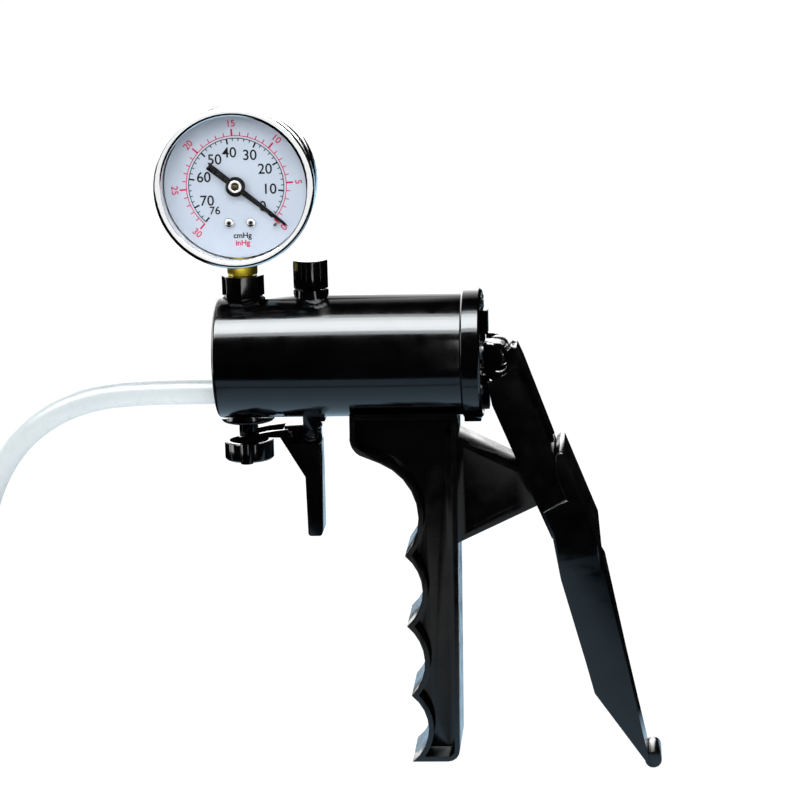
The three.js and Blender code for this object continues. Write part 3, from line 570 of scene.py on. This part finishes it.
# ---------------------------------------------------------------- floor and lights
GLOW = (0.60, 0.86, 1.08)


def floor():
    """A pale floor; in reflections it glows blue about the object and is dark in front and far left."""
    mesh = bpy.data.meshes.new("floor")
    bm = bmesh.new()
    bmesh.ops.create_grid(bm, x_segments=8, y_segments=8, size=9.0)
    bm.to_mesh(mesh)
    bm.free()
    material = bpy.data.materials.new("pale_floor")
    material.use_nodes = True
    tree = material.node_tree
    principled = tree.nodes["Principled BSDF"]
    principled.inputs["Base Color"].default_value = (0.25, 0.25, 0.26, 1.0)
    principled.inputs["Roughness"].default_value = 0.9
    principled.inputs["Specular IOR Level"].default_value = 0.0
    place = tree.nodes.new("ShaderNodeNewGeometry")
    split = tree.nodes.new("ShaderNodeSeparateXYZ")
    near = tree.nodes.new("ShaderNodeMapRange")
    near.inputs["From Min"].default_value = -0.20
    near.inputs["From Max"].default_value = 0.0
    brightness = tree.nodes.new("ShaderNodeValToRGB")
    elements = brightness.color_ramp.elements
    for position, level in ((0.34, 0.0), (0.42, 0.74), (0.60, 0.80)):
        element = elements.new(position)
        element.color = (level, level, level, 1.0)
    elements[0].color = (0, 0, 0, 1)
    elements[-1].color = (1, 1, 1, 1)
    behind = band(tree, split.outputs["Y"], 0.03, 0.06)
    beside = band(tree, split.outputs["X"], 0.03, 0.05)
    shaded = tree.nodes.new("ShaderNodeMath")
    shaded.operation = "MULTIPLY"
    open_part = tree.nodes.new("ShaderNodeMath")
    open_part.operation = "SUBTRACT"
    open_part.inputs[0].default_value = 1.0
    level = tree.nodes.new("ShaderNodeMath")
    level.operation = "MULTIPLY"
    near_object = tree.nodes.new("ShaderNodeMath")
    near_object.operation = "MULTIPLY"
    glow = tree.nodes.new("ShaderNodeEmission")
    glow.inputs["Color"].default_value = (*GLOW, 1.0)
    seen = tree.nodes.new("ShaderNodeEmission")
    seen.inputs["Strength"].default_value = 0.985
    path = tree.nodes.new("ShaderNodeLightPath")
    both = tree.nodes.new("ShaderNodeAddShader")
    mix = tree.nodes.new("ShaderNodeMixShader")
    output = tree.nodes["Material Output"]
    tree.links.new(place.outputs["Position"], split.inputs[0])
    tree.links.new(split.outputs["Y"], near.inputs["Value"])
    tree.links.new(near.outputs["Result"], brightness.inputs["Fac"])
    tree.links.new(behind, shaded.inputs[0])
    tree.links.new(beside, shaded.inputs[1])
    tree.links.new(shaded.outputs[0], open_part.inputs[1])
    tree.links.new(brightness.outputs["Color"], level.inputs[0])
    tree.links.new(open_part.outputs[0], level.inputs[1])
    tree.links.new(level.outputs[0], near_object.inputs[0])
    tree.links.new(band(tree, split.outputs["X"], -0.15, -0.11), near_object.inputs[1])
    tree.links.new(near_object.outputs[0], glow.inputs["Strength"])
    tree.links.new(principled.outputs[0], both.inputs[0])
    tree.links.new(seen.outputs[0], both.inputs[1])
    tree.links.new(path.outputs["Is Glossy Ray"], mix.inputs["Fac"])
    tree.links.new(both.outputs[0], mix.inputs[1])
    tree.links.new(glow.outputs[0], mix.inputs[2])
    tree.links.new(mix.outputs[0], output.inputs["Surface"])
    obj = link(bpy.data.objects.new("floor", mesh))
    obj.location.z = -0.0004
    obj.data.materials.append(material)


def softbox(name, centre, target, width, height, radiance, lights="reflections", only=(), color=(1, 1, 1)):
    """A soft panel that makes reflections or lights surfaces, on everything or only on the named objects."""
    data = bpy.data.lights.new(name, "AREA")
    data.shape = "RECTANGLE"
    data.size, data.size_y = width, height
    data.energy = radiance * math.pi * width * height
    data.color = color
    obj = link(bpy.data.objects.new(name, data))
    obj.location = centre
    obj.rotation_mode = "QUATERNION"
    obj.rotation_quaternion = (Vector(target) - Vector(centre)).to_track_quat("-Z", "Y")
    obj.visible_camera = False
    obj.visible_glossy = lights == "reflections"
    obj.visible_diffuse = lights == "surfaces"
    obj.visible_transmission = lights == "surfaces" or "gauge_lens" in only
    if only:
        receivers = bpy.data.collections.new(name)
        for node in only:
            receivers.objects.link(bpy.data.objects[node])
        obj.light_linking.receiver_collection = receivers


def overhead():
    """Strips side by side, brightest in the middle, so that the highlight along the barrel has soft edges."""
    aim = Vector((0.0, 0.42, -1.11)).normalized()
    back = Vector((0.0, -aim.z, aim.y))
    strip = 0.15
    for i, share in enumerate((0.35, 0.95, 1.0, 0.95, 0.75, 0.3)):
        centre = Vector((0.0, -0.42, 1.25)) + back * strip * (i - 2.5)
        softbox(f"overhead_{i + 1}", centre, centre + aim, 2.2, strip, 22.0 * share, color=(0.94, 0.98, 1.0))


def world():
    """Dim in front and overhead, white low down behind, like a dark room with a lit backdrop."""
    studio = bpy.data.worlds.new("studio")
    studio.use_nodes = True
    tree = studio.node_tree
    background = tree.nodes["Background"]
    place = tree.nodes.new("ShaderNodeTexCoord")
    split = tree.nodes.new("ShaderNodeSeparateXYZ")
    low = tree.nodes.new("ShaderNodeMapRange")
    low.inputs["From Min"].default_value = 0.35
    low.inputs["From Max"].default_value = 0.85
    low.inputs["To Min"].default_value = 1.0
    low.inputs["To Max"].default_value = 0.0
    left = tree.nodes.new("ShaderNodeMapRange")
    left.inputs["From Min"].default_value = 0.05
    left.inputs["From Max"].default_value = 0.15
    left.inputs["To Min"].default_value = 1.0
    left.inputs["To Max"].default_value = 0.0
    product = tree.nodes.new("ShaderNodeMath")
    product.operation = "MULTIPLY"
    where = tree.nodes.new("ShaderNodeMath")
    where.operation = "MULTIPLY"
    both = tree.nodes.new("ShaderNodeMath")
    both.operation = "MULTIPLY_ADD"
    both.inputs[2].default_value = 0.012
    tree.links.new(place.outputs["Generated"], split.inputs[0])
    tree.links.new(split.outputs["Z"], low.inputs["Value"])
    tree.links.new(split.outputs["X"], left.inputs["Value"])
    tree.links.new(low.outputs["Result"], product.inputs[0])
    tree.links.new(band(tree, split.outputs["Y"], -0.15, 0.15), product.inputs[1])
    tree.links.new(product.outputs[0], where.inputs[0])
    tree.links.new(left.outputs["Result"], where.inputs[1])
    tree.links.new(where.outputs[0], both.inputs[0])
    kind = tree.nodes.new("ShaderNodeLightPath")
    white = tree.nodes.new("ShaderNodeMapRange")
    white.inputs["To Min"].default_value = 1.1
    white.inputs["To Max"].default_value = 4.0
    tree.links.new(kind.outputs["Is Glossy Ray"], white.inputs["Value"])
    tree.links.new(white.outputs["Result"], both.inputs[1])
    tree.links.new(both.outputs[0], background.inputs["Strength"])
    background.inputs["Color"].default_value = (1, 1, 1, 1)
    bpy.context.scene.world = studio


BRIGHT_PARTS = (
    "gauge_bezel", "gauge_case", "gauge_stem", "gauge_lens",
    "needle_cap", "dial_screw_left", "dial_screw_right",
)
UPRIGHT_PARTS = ("gauge_socket", "vent_cap", "front_cover", "barrel", "valve_body", "valve_knob", "trigger")

floor()
overhead()
softbox("left", (-0.55, -0.03, 0.22), (0, 0, 0.22), 0.25, 0.44, 5.5, only=UPRIGHT_PARTS)
softbox("front_right", (0.20, -0.42, 0.22), (-0.02, 0, 0.22), 0.07, 0.44, 4.5, only=UPRIGHT_PARTS)
softbox("key", (-0.1, -1.3, 0.95), (0, 0, 0.16), 1.2, 0.8, 3.9, "surfaces")
softbox("fill", (-0.9, -1.6, 0.9), (0, 0, 0.12), 0.5, 0.5, 4.0, "surfaces")
softbox("gauge_card", (0.1, -0.45, 0.61), (0.1, 0, 0.61), 2.2, 1.07, 1.05, only=BRIGHT_PARTS)
softbox("gauge_card_low", (0.6, -0.45, 0.045), (0.6, 0, 0.045), 1.2, 0.06, 1.05, only=BRIGHT_PARTS)
softbox("gauge_top", (0.0, 0.06, 0.75), (0, 0.06, 0), 1.4, 0.36, 1.05, only=BRIGHT_PARTS)
softbox("neck_card", (-0.05, -0.55, 0.06), (-0.05, 0, 0.19), 0.9, 0.4, 3.0, only=("gauge_stem",))
softbox(
    "barrel_card", (0.0, -0.168, 0.001), (0.0, -0.168, 1.0), 0.40, 0.072, 0.62,
    only=("barrel", "end_cap"), color=GLOW,
)
softbox("hose_top", (-0.15, 0.05, 0.7), (-0.15, 0, 0.1), 0.4, 0.3, 3.0, "surfaces", only=("hose_tube",))
softbox("grip_card", (0.0, -0.2125, 0.001), (0.0, -0.2125, 1.0), 0.30, 0.175, 0.5, only=("grip",))
world()
bpy.context.scene.view_settings.view_transform = "Standard"
